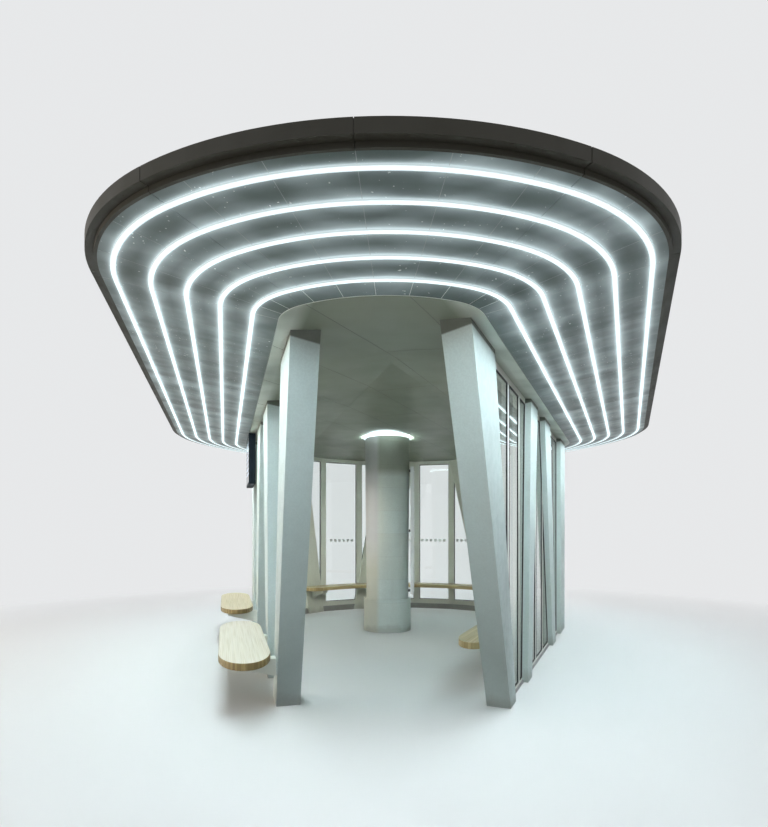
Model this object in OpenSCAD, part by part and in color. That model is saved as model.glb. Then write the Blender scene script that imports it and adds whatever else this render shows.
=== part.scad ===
/* [Plan of the canopy] */
// Radius of the front curve, on the innermost light line
nose_r = 1143; // [900:1:1500]
// Half angle of the front curve
nose_half = 27.6; // [20:0.1:35]
// Radius of the front corners, on the innermost light line
corner_r = 554; // [450:1:750]
// Angle between each long side and the centre line
flare = 19.2; // [14:0.1:24]
// Straight length of each long side
side_len = 5495; // [5300:5:6500]
// Radius of the rear corners, on the innermost light line
back_corner_r = 1400; // [1200:5:1600]
// Half angle of the rear curve
back_sweep = 81; // [70:1:86]

/* [Roof section] */
// Height of the innermost light line above the ground
light_z = 2860; // [2600:5:3200]
// Rise of the soffit for each millimetre outwards
soffit_rise = 0.146; // [0.08:0.002:0.2]
// Distance from the innermost light line out to the soffit's outer edge
soffit_out = 860; // [850:5:1000]
// Distance from the innermost light line in to the flat ceiling
crease_in = 160; // [120:5:240]
// Rise of the ceiling for each millimetre inwards from there
ceiling_rise = 0.09; // [0.04:0.005:0.12]
// Distance from there in to the level middle of the ceiling
field_in = 1040; // [900:10:1040]
// Thickness of the soffit and ceiling panels
panel_t = 12; // [8:1:18]
// Thickness of the roof at its edge, above the soffit panels
rim_t = 54; // [45:1:90]
// Depth of the metal edge band
band_h = 65; // [50:1:90]
// How far the edge band stands out past the soffit
band_out = 60; // [30:1:90]
// Height of the band above the roof's edge
band_lip = 25; // [15:1:40]
// Width of the band's flange on the roof
band_flange = 110; // [60:5:200]
// Thickness of the narrow lip under the band
lip_t = 17; // [10:1:25]
// Thickness of the roof sheet
sheet_t = 10; // [5:1:15]
// Joint between two lengths of a panel or band
joint = 2; // [1:0.5:5]
// Number of soffit panels along each side
side_panels = 13; // [8:1:16]
// Number of soffit panels round the rear curve
back_panels = 14; // [8:1:18]
// Number of soffit panels round each front corner
corner_panels = 3; // [1:1:4]
// Angle between two joints of the soffit panels on the front curve
nose_joint = 11; // [8:0.5:13]

/* [Light lines] */
// Number of light lines
line_n = 5;
// Distance from one light line to the next
line_pitch = 195.4; // [150:0.2:200]
// Width of a light line
line_w = 30; // [20:1:50]
// How far a light line stands below the panels
line_drop = 8; // [3:0.5:15]
// Joint between two lengths of a light line
line_joint = 0.5; // [0.3:0.1:1]

/* [Columns] */
// Outer face of the columns, measured in from the innermost light line
column_in = 255; // [240:5:300]
// Thickness of a column
column_t = 205; // [150:5:260]
// Right column 1, along the wall: top from, top to, foot from, foot to
right_1 = [45, 745, 1375, 1615]; // [0:5:6000]
// Right column 2
right_2 = [2465, 2935, 2285, 2535]; // [0:5:6000]
// Right column 3
right_3 = [3505, 4015, 4295, 4615]; // [0:5:6000]
// Right column 4
right_4 = [5225, 5800, 5235, 5780]; // [0:5:6000]
// Left column 1
left_1 = [200, 885, 1300, 1600]; // [0:5:6000]
// Left column 2
left_2 = [2365, 3035, 2285, 2535]; // [0:5:6000]
// Left column 3
left_3 = [3555, 4255, 4295, 4615]; // [0:5:6000]
// Left column 4
left_4 = [5225, 5800, 5235, 5780]; // [0:5:6000]
// Rear column 1, in degrees from the centre line: top from, top to, foot from, foot to
back_1 = [-69.7, -54.2, -52.3, -43.3]; // [-80:0.1:80]
// Rear column 2
back_2 = [-14.2, 3.4, -27.2, -15.2]; // [-80:0.1:80]
// Rear column 3
back_3 = [19.9, 36, 37.9, 47]; // [-80:0.1:80]
// Rear column 4
back_4 = [63, 78, 52, 61]; // [-80:0.1:80]

/* [Glazing] */
// How far the window frames are set back from the columns' outer face
glaze_back = 60; // [40:5:90]
// Depth of a window frame
frame_d = 60; // [40:5:80]
// Width of an upright of the rear wall
post_w = 110; // [60:5:130]
// Width of an upright of the right wall
side_post_w = 80; // [60:5:130]
// Height of the bottom rail of the rear wall
rail_h = 80; // [40:5:100]
// Height of the bottom rail of the right wall
side_rail_h = 30; // [20:1:60]
// Depth of the head rail below the lowest line of the ceiling
head_h = 45; // [30:5:120]
// Width of the frame along a column
bead_w = 20; // [15:1:30]
// Height of the plinth under the rear frames
plinth_h = 95; // [80:5:200]
// Height of the low sill under the right frames
sill_h = 20; // [15:1:60]
// Width of the plinth and the sill
plinth_w = 90; // [70:5:120]
// Thickness of the glass
glass_t = 12; // [8:1:16]
// How far the right glass is set back from the face of its frames
glass_back_set = 3; // [1:1:20]
// First upright of the right wall, along the wall
post_first = 1565; // [1400:5:1700]
// Distance from one upright to the next on the right wall
post_pitch = 540; // [480:5:600]
// Clearance of a fitted piece
fit = 0.3; // [0.1:0.1:0.5]

/* [Round column] */
// Distance of the round column from the centre line
drum_x = -270; // [-400:5:400]
// Distance of the round column from the front of the canopy
drum_from_front = 6617; // [6300:1:7000]
// Diameter of the round column at its top
drum_top_d = 680; // [550:5:700]
// Diameter of the round column at its foot
drum_foot_d = 635; // [500:5:700]
// Diameter of the sleeve round its foot
sleeve_d = 710; // [705:5:760]
// Height of the sleeve
sleeve_h = 485; // [300:5:700]
// Width and height of the light ring round its head
ring_w = 24; // [20:1:40]

/* [Notice board] */
// Width of the board
board_w = 480; // [300:5:700]
// Height of the board
board_h = 1900; // [1500:10:2100]
// Thickness of the board
board_t = 50; // [30:1:60]
// Height of the board's lower edge above the sleeve
board_lift = 70; // [20:5:150]
// Gap between the board and the round column
board_gap = 15; // [10:1:60]
// Diameter of a stand-off
standoff_d = 40; // [30:1:60]
// Number of stand-offs, one over the other
standoff_n = 3;

/* [Benches] */
// Height of the outside seats
seat_z = 475; // [420:5:520]
// Height of the inside seat
seat_in_z = 500; // [420:5:540]
// Thickness of a seat
seat_t = 60; // [50:5:90]
// Corner radius of a seat
seat_corner = 205; // [80:5:210]
// Inner edge of the outside seats, from the innermost light line
seat_out_from = -207; // [-240:1:-180]
// Outer edge of the outside seats, from the innermost light line
seat_out_to = 221; // [180:1:260]
// Near outside seat: from, to, along the wall
seat_near = [895, 3095]; // [500:5:6500]
// Far outside seat: from, to, along the wall
seat_far = [4065, 6195]; // [500:5:6500]
// Gap between the inside seat and the columns
seat_gap = 15; // [5:1:40]
// Width of the inside seat
seat_w = 360; // [300:5:450]
// Where the inside seat starts along the right wall
seat_in_from = 1540; // [1400:5:2200]
// Where the inside seat ends on the rear curve, in degrees
seat_in_end = -54; // [-60:1:-46]
// Width of a seat bracket
bracket_w = 120; // [80:5:160]
// Height of a seat bracket at the column
bracket_h = 150; // [80:5:200]
// Height of a seat bracket at its far end
bracket_tip = 50; // [30:5:80]
// How far a bracket ends short of the seat's edge
bracket_short = 90; // [50:5:150]

/* [Display] */
// Display: from, to, along the left wall
display_s = [4330, 5180]; // [4300:5:5300]
// Height of the display
display_h = 685; // [500:5:750]
// Thickness of the display
display_t = 90; // [60:5:100]
// Gap between the display and the columns
display_gap = 20; // [10:1:40]
// Length of the display's hangers
hanger_h = 10; // [5:1:100]
// Diameter of a hanger
hanger_d = 40; // [25:1:50]
// Width of the housing round the screen
bezel = 30; // [15:1:60]
// Depth of the screen
screen_t = 6; // [4:1:10]

/* [Hidden] */
$fn = 256;

// Plan: arcs that meet without a corner, joined by the straight sides
out_dir = [cos(flare), -sin(flare)];
side_dir = [sin(flare), cos(flare)];
corner_from_nose = (nose_r - corner_r) * [sin(nose_half), -cos(nose_half)];
back_corner_from_nose = corner_from_nose + side_len * side_dir + (corner_r - back_corner_r) * out_dir;
back_r = back_corner_r + back_corner_from_nose[0] / sin(back_sweep);
back_from_nose = back_corner_from_nose[1] - (back_r - back_corner_r) * cos(back_sweep);
roof_out = soffit_out + band_out;
nose_y = (nose_r - back_from_nose - back_r) / 2;
nose_c = [0, nose_y];
corner_c = nose_c + corner_from_nose;
back_corner_c = nose_c + back_corner_from_nose;
back_c = [0, nose_y + back_from_nose];
front_y = nose_y - nose_r - roof_out;
side_start = corner_c + corner_r * out_dir;
nose_arc = [nose_c, nose_r, 270 - nose_half, 270 + nose_half];
corner_arc = [corner_c, corner_r, 270 + nose_half, 360 - flare];
back_corner_arc = [back_corner_c, back_corner_r, -flare, 90 - back_sweep];
back_arc = [back_c, back_r, 90 - back_sweep, 90 + back_sweep];

// Heights, from the soffit's slope
function soffit_z(off) = light_z + soffit_rise * off;
ceiling_z = soffit_z(-crease_in);
field_z = ceiling_z + ceiling_rise * field_in;
rim_z = soffit_z(soffit_out) + panel_t;
roof_z = rim_z + rim_t;
band_top = roof_z + band_lip;
band_foot = band_top - band_h;
line_off = [for (k = [1:line_n]) (line_n - k) * line_pitch];

// Walls
column_out = -column_in;
column_inner = -column_in - column_t;
frame_out = column_out - glaze_back;
frame_mid = frame_out - frame_d / 2;
rights = [right_1, right_2, right_3, right_4];
lefts = [left_1, left_2, left_3, left_4];
backs = [back_1, back_2, back_3, back_4];
post_at = [for (s = [post_first:post_pitch:side_len]) s];
back_posts = [-80, -63, -42.8, -24.3, -10.8, 3.8, 20.6, 38, 50, 65, 80];
seat_mid = column_inner - seat_gap - seat_w / 2;
drum_c = [drum_x, front_y + drum_from_front];
board_x = drum_top_d / 2 + board_gap;
board_z = sleeve_h + board_lift;
cut_over = 10;
room_step = 5;

// Position of a column's edge at a height
function edge(top, foot, z) = foot + (top - foot) * z / ceiling_z;
function middle(col, z) = (edge(col[0], col[2], z) + edge(col[1], col[3], z)) / 2;
function on_back(a, off) = back_c + (back_r + off) * [sin(a), cos(a)];
function on_side(s, off) = side_start + s * side_dir + off * out_dir;
function flip(p) = [-p[0], p[1]];

// Puts a drawing of distance along the wall and height on the right wall
module right_wall(off) {
    start = side_start + off * out_dir;
    translate([start[0], start[1], 0]) rotate([90, 0, 90 - flare]) children();
}

// Puts a drawing of width and height on the rear curve, growing inwards
module back_wall(a, off) {
    p = on_back(a, off);
    translate([p[0], p[1], 0]) rotate([90, 0, -a]) children();
}

// Turns a section of offset and height round one arc of the plan, in equal lengths with joints
module arc_sweep(arc, n = 1, gap = 0) {
    trim = gap / 2 / arc[1] * 180 / PI;
    step = (arc[3] - arc[2]) / n;
    for (i = [0:n - 1]) translate([arc[0][0], arc[0][1], 0]) rotate([0, 0, arc[2] + i * step + trim])
        rotate_extrude(angle = step - 2 * trim) translate([arc[1], 0]) children();
}

// Draws a section of offset and height along a stretch of the right side
module side_sweep(s0, s1) {
    p = on_side(s1, 0);
    translate([p[0], p[1], 0]) rotate([90, 0, -flare]) linear_extrude(s1 - s0) children();
}

// Sweeps a section of offset and height round the plan, but for the front curve, in lengths with joints
module plan_rest(gap, corner_n = 1, side_n = 1, back_n = 1) {
    arc_sweep(back_arc, back_n, gap) children();
    length = side_len / side_n;
    for (side = [0, 1]) mirror([side, 0, 0]) {
        arc_sweep(corner_arc, corner_n, gap) children();
        for (i = [0:side_n - 1]) side_sweep(i * length + gap / 2, (i + 1) * length - gap / 2) children();
        arc_sweep(back_corner_arc, 1, gap) children();
    }
}

// Sweeps a section of offset and height all round the plan
module plan_sweep(gap, nose_n = 1, side_n = 1, back_n = 1) {
    arc_sweep(nose_arc, nose_n, gap) children();
    plan_rest(gap, 1, side_n, back_n) children();
}

// Points round one arc of the plan at an offset, without the last one, and the angle between them
function arc_points(arc, off, step = 2) =
    let (n = ceil((arc[3] - arc[2]) / step))
    [for (i = [0:n - 1]) let (a = arc[2] + (arc[3] - arc[2]) * i / n)
        arc[0] + (arc[1] + off) * [cos(a), sin(a)]];
function reversed(points) = [for (i = [len(points) - 1:-1:0]) points[i]];

// Outline of the right half of the plan at an offset, from front to back
function half_outline(off, step = 2) = concat(
    arc_points([nose_c, nose_r, 270, 270 + nose_half], off, step),
    arc_points(corner_arc, off, step),
    [on_side(0, off)],
    arc_points(back_corner_arc, off, step),
    arc_points([back_c, back_r, 90 - back_sweep, 90], off, step),
    [on_back(0, off)]
);

// Fills the plan inside an offset, between two heights
module plan_slab(off, z0, z1, step = 2) {
    right = half_outline(off, step);
    left = [for (i = [len(right) - 2:-1:1]) flip(right[i])];
    translate([0, 0, z0]) linear_extrude(z1 - z0) polygon(concat(right, left));
}

// Outline of the level middle of the ceiling, from the point where the two sides meet
function field_outline(off) =
    let (
        point = side_start + off * out_dir,
        right = concat(
            [[0, point[1] - point[0] * side_dir[1] / side_dir[0]]],
            arc_points(back_corner_arc, off, room_step),
            arc_points([back_c, back_r, 90 - back_sweep, 90], off, room_step),
            [on_back(0, off)]
        )
    )
    concat(right, [for (i = [len(right) - 2:-1:1]) flip(right[i])]);

// Space under the ceiling, which rises from the crease to its level middle, with room to cut at the edge
module room(lift = 0) {
    hull() {
        plan_slab(cut_over - crease_in, -cut_over, ceiling_z - ceiling_rise * cut_over + lift, room_step);
        translate([0, 0, -cut_over]) linear_extrude(field_z + lift + cut_over)
            polygon(field_outline(-crease_in - field_in));
    }
}

module roof_core() color("dimgray") {
    difference() {
        plan_slab(-crease_in, ceiling_z, roof_z);
        room(panel_t);
    }
}

// Tapering lengths of roof that reach out from the core
module roof_wings() color("dimgray") {
    plan_sweep(joint) polygon([
        [-crease_in, ceiling_z + panel_t], [soffit_out, rim_z], [soffit_out, roof_z], [-crease_in, roof_z]
    ]);
}

module roof_sheet() color("slategray") {
    plan_slab(soffit_out - band_flange - fit, roof_z, roof_z + sheet_t);
}

module edge_band() color("gray") {
    inner = soffit_out - band_flange;
    plan_sweep(joint, 2, 2, 4) polygon([
        [soffit_out, band_foot], [roof_out, band_foot], [roof_out, band_top],
        [soffit_out, band_top], [inner, roof_z + sheet_t], [inner, roof_z], [soffit_out, roof_z]
    ]);
}

module edge_lip() color("darkgray") {
    plan_sweep(joint, 2, 2, 4) translate([soffit_out, soffit_z(soffit_out)])
        square([lip_t, band_foot - soffit_z(soffit_out)]);
}

module soffit_panels() color("silver") {
    section = [
        [-crease_in, ceiling_z], [soffit_out, soffit_z(soffit_out)], [soffit_out, rim_z],
        [-crease_in, ceiling_z + panel_t]
    ];
    plan_rest(joint, corner_panels, side_panels, back_panels) polygon(section);
    for (side = [0, 1]) mirror([side, 0, 0]) {
        arc_sweep([nose_c, nose_r, 270, 270 + 2 * nose_joint], 2, joint) polygon(section);
        arc_sweep([nose_c, nose_r, 270 + 2 * nose_joint, 270 + nose_half], 1, joint) polygon(section);
    }
}

module inner_ceiling() color("gainsboro") {
    difference() {
        intersection() {
            plan_slab(-crease_in, ceiling_z - cut_over, roof_z);
            room(panel_t);
        }
        room();
    }
}

module light_line(k) color("white") {
    a = line_off[k - 1] - line_w / 2;
    b = line_off[k - 1] + line_w / 2;
    plan_sweep(line_joint) polygon([
        [a, soffit_z(a) - line_drop], [b, soffit_z(b) - line_drop], [b, soffit_z(b)], [a, soffit_z(a)]
    ]);
}

// Tapered plate with leaning edges, drawn past the ceiling
module plate(e) {
    linear_extrude(column_t) polygon([
        [e[2], 0], [e[3], 0], [edge(e[1], e[3], roof_z), roof_z], [edge(e[0], e[2], roof_z), roof_z]
    ]);
}

module side_column(e, left = 0) color("whitesmoke") {
    intersection() {
        mirror([left, 0, 0]) right_wall(column_inner) plate(e);
        room();
    }
}

// Edges of a rear column across its own flat inner face
function flat_edges(e) =
    let (mid = (e[0] + e[1] + e[2] + e[3]) / 4)
    [for (a = e) (back_r + column_inner) * tan(a - mid)];
function mid_angle(e) = (e[0] + e[1] + e[2] + e[3]) / 4;

module back_column(e) color("whitesmoke") {
    intersection() {
        back_wall(mid_angle(e), column_out) plate(flat_edges(e));
        room();
    }
}

// Space that the columns beside the rear glazing take out of it
module column_cut(e) {
    low = -cut_over;
    high = roof_z + cut_over;
    translate([0, 0, -frame_d]) linear_extrude(column_t + 2 * frame_d) polygon([
        [edge(e[0], e[2], low) - fit, low], [edge(e[1], e[3], low) + fit, low],
        [edge(e[1], e[3], high) + fit, high], [edge(e[0], e[2], high) - fit, high]
    ]);
}

module rear_cuts() {
    for (e = backs) back_wall(mid_angle(e), column_out) column_cut(flat_edges(e));
    right_wall(column_inner) column_cut(right_4);
    mirror([1, 0, 0]) right_wall(column_inner) column_cut(left_4);
}

// Outline of a bay of the right wall between two heights
module bay(k, z0, z1, gap) {
    a = rights[k - 1];
    b = rights[k];
    polygon([
        [edge(a[1], a[3], z0) + gap, z0], [edge(b[0], b[2], z0) - gap, z0],
        [edge(b[0], b[2], z1) - gap, z1], [edge(a[1], a[3], z1) + gap, z1]
    ]);
}

module bay_posts(grow) {
    for (s = post_at) translate([s - side_post_w / 2 - grow, 0]) square([side_post_w + 2 * grow, roof_z]);
}

module frame_right(k) color("white") {
    intersection() {
        right_wall(frame_out - frame_d) linear_extrude(frame_d) {
            difference() {
                bay(k, sill_h, roof_z, fit);
                bay(k, sill_h + side_rail_h, ceiling_z - head_h, fit + bead_w);
            }
            intersection() {
                bay(k, sill_h, roof_z, fit);
                bay_posts(0);
            }
        }
        room();
    }
}

module glass_right() color("lightblue", 0.4) {
    for (k = [1:3]) right_wall(frame_out - glass_back_set - glass_t) linear_extrude(glass_t) difference() {
        bay(k, sill_h + side_rail_h + fit, ceiling_z - head_h - fit, 2 * fit + bead_w);
        bay_posts(fit);
    }
}

// Angle on the rear curve that spans a length of the glazing
function span(w) = w / (back_r + frame_mid) * 180 / PI;

// Length of the rear glazing between two angles, as thick as asked
module rear_length(a0, a1, thick, z0, z1) {
    d = thick / 2;
    translate([0, 0, z0]) linear_extrude(z1 - z0) polygon([
        on_back(a0, frame_mid - d), on_back(a0, frame_mid + d),
        on_back(a1, frame_mid + d), on_back(a1, frame_mid - d)
    ]);
}

// Length from the last upright to the column at the end of a side
module rear_end(a, s, thick, z0, z1) {
    d = thick / 2;
    translate([0, 0, z0]) linear_extrude(z1 - z0) polygon([
        on_back(a, frame_mid - d), on_back(a, frame_mid + d),
        on_side(s, frame_mid + d), on_side(s, frame_mid - d)
    ]);
}

// Rails or panes in every space between the rear uprights
module rear_fill(gap, thick, z0, z1) {
    half = span(post_w / 2 + gap);
    last = len(back_posts) - 1;
    for (i = [0:last - 1]) rear_length(back_posts[i] + half, back_posts[i + 1] - half, thick, z0, z1);
    rear_end(back_posts[last] + half, right_4[1] - post_w / 2, thick, z0, z1);
    mirror([1, 0, 0]) rear_end(half - back_posts[0], left_4[1] - post_w / 2, thick, z0, z1);
}

module frame_back() color("white") {
    half = span(post_w / 2);
    difference() {
        intersection() {
            union() {
                rear_fill(0, frame_d, plinth_h, plinth_h + rail_h);
                rear_fill(0, frame_d, ceiling_z - head_h, roof_z);
                for (a = back_posts) rear_length(a - half, a + half, frame_d, plinth_h, roof_z);
            }
            room();
        }
        rear_cuts();
    }
}

module glass_back() color("lightblue", 0.4) {
    difference() {
        rear_fill(fit, glass_t, plinth_h + rail_h + fit, ceiling_z - head_h - fit);
        rear_cuts();
    }
}

module plinths() color("darkgray") {
    last = len(back_posts) - 1;
    for (k = [1:3]) right_wall(frame_mid - plinth_w / 2) linear_extrude(plinth_w) bay(k, 0, sill_h, fit);
    difference() {
        union() {
            for (i = [0:last - 1]) rear_length(back_posts[i], back_posts[i + 1], plinth_w, 0, plinth_h);
            rear_end(back_posts[last], right_4[1] - post_w / 2, plinth_w, 0, plinth_h);
            mirror([1, 0, 0]) rear_end(-back_posts[0], left_4[1] - post_w / 2, plinth_w, 0, plinth_h);
        }
        rear_cuts();
    }
}

module round_column() color("whitesmoke") {
    translate([drum_c[0], drum_c[1], sleeve_h])
        cylinder(d1 = drum_foot_d, d2 = drum_top_d, h = field_z - sleeve_h);
}

module round_column_sleeve() color("gainsboro") {
    translate([drum_c[0], drum_c[1], 0]) cylinder(d = sleeve_d, h = sleeve_h);
}

module round_column_light() color("white") {
    inner = drum_top_d / 2 + fit;
    translate([drum_c[0], drum_c[1], field_z - ring_w])
        rotate_extrude() translate([inner, 0]) square(ring_w);
}

module notice_board() color("white") {
    translate([drum_c[0] + board_x, drum_c[1] - board_w / 2, board_z]) cube([board_t, board_w, board_h]);
}

module board_standoffs() color("dimgray") {
    step = (board_h - 2 * standoff_d) / (standoff_n - 1);
    for (i = [0:standoff_n - 1]) difference() {
        translate([drum_c[0], drum_c[1], board_z + standoff_d + i * step]) rotate([0, 90, 0])
            cylinder(d = standoff_d, h = board_x);
        round_column();
    }
}

// Seat with round corners, from one distance along the wall to another
module seat(s0, s1, w) {
    r = min(seat_corner, w / 2 - 1);
    translate([s0 + r, 0, 0]) cube([s1 - s0 - 2 * r, seat_t, w]);
    translate([s0, 0, r]) cube([s1 - s0, seat_t, w - 2 * r]);
    for (x = [s0 + r, s1 - r], y = [r, w - r]) translate([x, 0, y]) rotate([-90, 0, 0])
        cylinder(r = r, h = seat_t);
}

module bench_left(span) color("burlywood") {
    mirror([1, 0, 0]) right_wall(seat_out_from) translate([0, seat_z - seat_t, 0])
        seat(span[0], span[1], seat_out_to - seat_out_from);
}

// Edge of the inside seat at an offset, along the right wall and round the rear corner
function seat_edge(off) = concat(
    [on_side(seat_in_from + seat_w / 2, off)],
    arc_points(back_corner_arc, off),
    arc_points([back_c, back_r, 90 - back_sweep, 90 - seat_in_end], off)
);

// Points round the end of the inside seat
function seat_round(mid, turn) =
    [for (i = [0:32]) let (a = turn + i * 180 / 32) mid + seat_w / 2 * [cos(a), sin(a)]];

module bench_inside() color("burlywood") {
    translate([0, 0, seat_in_z - seat_t]) linear_extrude(seat_t) polygon(concat(
        seat_edge(seat_mid + seat_w / 2),
        seat_round(on_back(seat_in_end, seat_mid), 90 - seat_in_end),
        reversed(seat_edge(seat_mid - seat_w / 2)),
        seat_round(on_side(seat_in_from + seat_w / 2, seat_mid), 180 - flare)
    ));
}

// Tapered bracket under a seat, at a column's middle, that reaches out from the wall plane it is drawn on
module bracket(e, seat, reach) {
    top = seat - seat_t;
    translate([middle(e, top - bracket_h / 2) - bracket_w / 2, top, 0]) rotate([0, 90, 0])
        linear_extrude(bracket_w) polygon([[0, 0], [0, -bracket_h], [-reach, -bracket_tip], [-reach, 0]]);
}

module bench_brackets() color("white") {
    reach_out = seat_out_to - bracket_short - column_out;
    reach_in = seat_gap + seat_w - bracket_short;
    for (e = lefts) mirror([1, 0, 0]) right_wall(column_out) bracket(e, seat_z, reach_out);
    for (k = [1:3]) right_wall(column_inner) mirror([0, 0, 1]) bracket(rights[k], seat_in_z, reach_in);
    for (e = backs) back_wall(mid_angle(e), column_inner) bracket(flat_edges(e), seat_in_z, reach_in);
}

display_z = ceiling_z - hanger_h - display_h;

module display_housing() color("black") {
    mirror([1, 0, 0]) right_wall(column_out + display_gap) difference() {
        translate([display_s[0], display_z, 0]) cube([display_s[1] - display_s[0], display_h, display_t]);
        translate([display_s[0] + bezel, display_z + bezel, display_t - screen_t])
            cube([display_s[1] - display_s[0] - 2 * bezel, display_h - 2 * bezel, screen_t + 1]);
    }
}

module display_screen() color("darkslategray") {
    mirror([1, 0, 0]) right_wall(column_out + display_gap + display_t - screen_t)
        translate([display_s[0] + bezel + fit, display_z + bezel + fit, 0])
            cube([display_s[1] - display_s[0] - 2 * (bezel + fit), display_h - 2 * (bezel + fit), screen_t]);
}

module display_hangers() color("dimgray") {
    intersection() {
        for (u = [0.2, 0.8]) mirror([1, 0, 0]) right_wall(column_out + display_gap + display_t / 2)
            translate([display_s[0] + u * (display_s[1] - display_s[0]), display_z + display_h, 0])
                rotate([-90, 0, 0]) cylinder(d = hanger_d, h = roof_z - display_z - display_h);
        room();
    }
}

roof_sheet();
roof_core();
roof_wings();
edge_band();
edge_lip();
soffit_panels();
inner_ceiling();
light_line(1);  // light_line_1
light_line(2);  // light_line_2
light_line(3);  // light_line_3
light_line(4);  // light_line_4
light_line(5);  // light_line_5
side_column(right_1);  // column_right_1
side_column(right_2);  // column_right_2
side_column(right_3);  // column_right_3
side_column(right_4);  // column_right_4
side_column(left_1, 1);  // column_left_1
side_column(left_2, 1);  // column_left_2
side_column(left_3, 1);  // column_left_3
side_column(left_4, 1);  // column_left_4
back_column(back_1);  // column_back_1
back_column(back_2);  // column_back_2
back_column(back_3);  // column_back_3
back_column(back_4);  // column_back_4
round_column();
round_column_sleeve();
round_column_light();
notice_board();
board_standoffs();
frame_right(1);  // frame_right_1
frame_right(2);  // frame_right_2
frame_right(3);  // frame_right_3
frame_back();
glass_right();
glass_back();
plinths();
bench_left(seat_near);  // bench_left_near
bench_left(seat_far);  // bench_left_far
bench_inside();
bench_brackets();
display_housing();
display_screen();
display_hangers();
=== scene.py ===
import math

import bmesh
import bpy
from mathutils import Matrix, Vector
from mathutils.bvhtree import BVHTree


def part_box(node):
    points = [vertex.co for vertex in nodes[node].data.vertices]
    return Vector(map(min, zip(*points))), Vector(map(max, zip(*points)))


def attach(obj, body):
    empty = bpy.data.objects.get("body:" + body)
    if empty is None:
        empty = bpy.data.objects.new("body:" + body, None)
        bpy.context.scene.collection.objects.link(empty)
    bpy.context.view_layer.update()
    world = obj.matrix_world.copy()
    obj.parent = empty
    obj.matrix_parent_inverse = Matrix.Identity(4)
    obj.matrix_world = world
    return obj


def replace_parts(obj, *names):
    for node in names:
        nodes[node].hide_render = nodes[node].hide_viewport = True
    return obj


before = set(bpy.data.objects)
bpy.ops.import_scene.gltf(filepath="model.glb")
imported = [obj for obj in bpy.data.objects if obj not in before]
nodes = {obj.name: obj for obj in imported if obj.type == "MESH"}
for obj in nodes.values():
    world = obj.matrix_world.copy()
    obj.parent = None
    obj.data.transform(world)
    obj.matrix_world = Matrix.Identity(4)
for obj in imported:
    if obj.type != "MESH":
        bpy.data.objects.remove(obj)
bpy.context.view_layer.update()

# Plan of the canopy on its innermost light line, in metres and degrees
NOSE_RADIUS = 1.143
NOSE_HALF_ANGLE = 27.6
CORNER_RADIUS = 0.554
FLARE = 19.2
SIDE_LENGTH = 5.495
BACK_CORNER_RADIUS = 1.4
BACK_HALF_ANGLE = 81

# Offsets outwards from the innermost light line, and heights
CREASE = -0.16
SOFFIT_EDGE = 0.86
BAND_EDGE = 0.92
LIGHT_Z = 2.86
SOFFIT_RISE = 0.146
LIGHT_PITCH = 0.1954
LIGHT_COUNT = 5
LIGHT_WIDTH = 0.03
LIGHT_DROP = 0.008
CEILING_Z = LIGHT_Z + SOFFIT_RISE * CREASE
GLASS_MIDDLE = -0.345
ROOM_EDGE = (-0.34, -0.25)

# Joints between the soffit panels, and between the lengths of the edge band
NOSE_JOINTS = (11, 22)
CORNER_PANELS = 3
SIDE_PANELS = 13
BACK_PANELS = 14
BACK_BANDS = 4

# Seats: radius of their round ends in the CAD model, and length of the half ellipses drawn from them
SEAT_CORNER = 0.205
SEAT_END = 0.45

# Timber strips inside and outside, and the two tones of a worn top with painted light, and with painted shade
STRIP_WIDTH = 0.032
OUTSIDE_STRIP_WIDTH = 0.016
LIT_WORN_TOP = ((0.77, 0.72, 0.61), (0.66, 0.60, 0.48))
SHADED_WORN_TOP = ((0.68, 0.59, 0.40), (0.55, 0.465, 0.295))

# Lifts of the round column, and the height above which its head is shaded
POUR_START = 0.10
POUR_HEIGHT = 0.34
HEAD_SHADE = 2.36
HEAD_BLUR = 0.06

# Shade of the crease on the heads of the other columns
CREASE_SHADE_SLOPE = 0.18
CREASE_SHADE_DROP = 0.008
CREASE_SHADE_BLUR = 0.005

# Light lines and ring: what each sheds downwards and sideways, and what the eye sees of them
LIGHT_COLOUR = (0.80, 0.95, 1.0)
LINE_STRENGTH = 40.0
LINE_SIDE_STRENGTH = 0.8
RING_STRENGTH = 2.0
RING_SIDE_STRENGTH = 70.0
SEEN_STRENGTH = 1.5
RIM_STRENGTH = 0.55
MIRRORED_GAIN = 2.2

# Painted glow that they throw on the soffit, its joint strips and the ceiling, and half widths of the ring's
# painted pool
GLOW = 0.40
GLOW_LENGTH = 0.010
WIDE_GLOW = 0.27
WIDE_GLOW_LENGTH = 0.040
STRIP_GLOW = 0.3
STRIP_GLOW_LENGTH = 0.045
RING_GLOW = 1.3
RING_GLOW_LENGTH = 0.10
RING_POOL = (0.285, 0.60)

# Rows of light on the screen: their pitch, the last one, and their height and half length as shares
ROW_PITCH = 0.07
ROW_END = 8
ROW_SHARE = 0.34
ROW_MARGIN = 0.42
ROW_COLOUR = (0.55, 0.75, 1.0)
ROW_STRENGTH = 0.8

# Camera, in metres, degrees and millimetres
EYE = (0.261, -7.394, 1.5)
TURN_LEFT = 3.787
LENS = 25.117
LENS_RISE = 0.142

# Studio: backdrop, floor where it is seen and where it only lights things, and where the floor fades out
BACKGROUND = (0.80, 0.81, 0.82)
FLOOR_SEEN = (0.70, 0.69, 0.68)
FLOOR_SHED = (0.30, 0.29, 0.27)
FLOOR_FADE = (2.6, 9)


def out(bearing):
    """Direction on plan at an angle from the front of the shelter, turning towards its right side."""
    angle = math.radians(bearing)
    return Vector((math.sin(angle), -math.cos(angle), 0))


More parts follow.
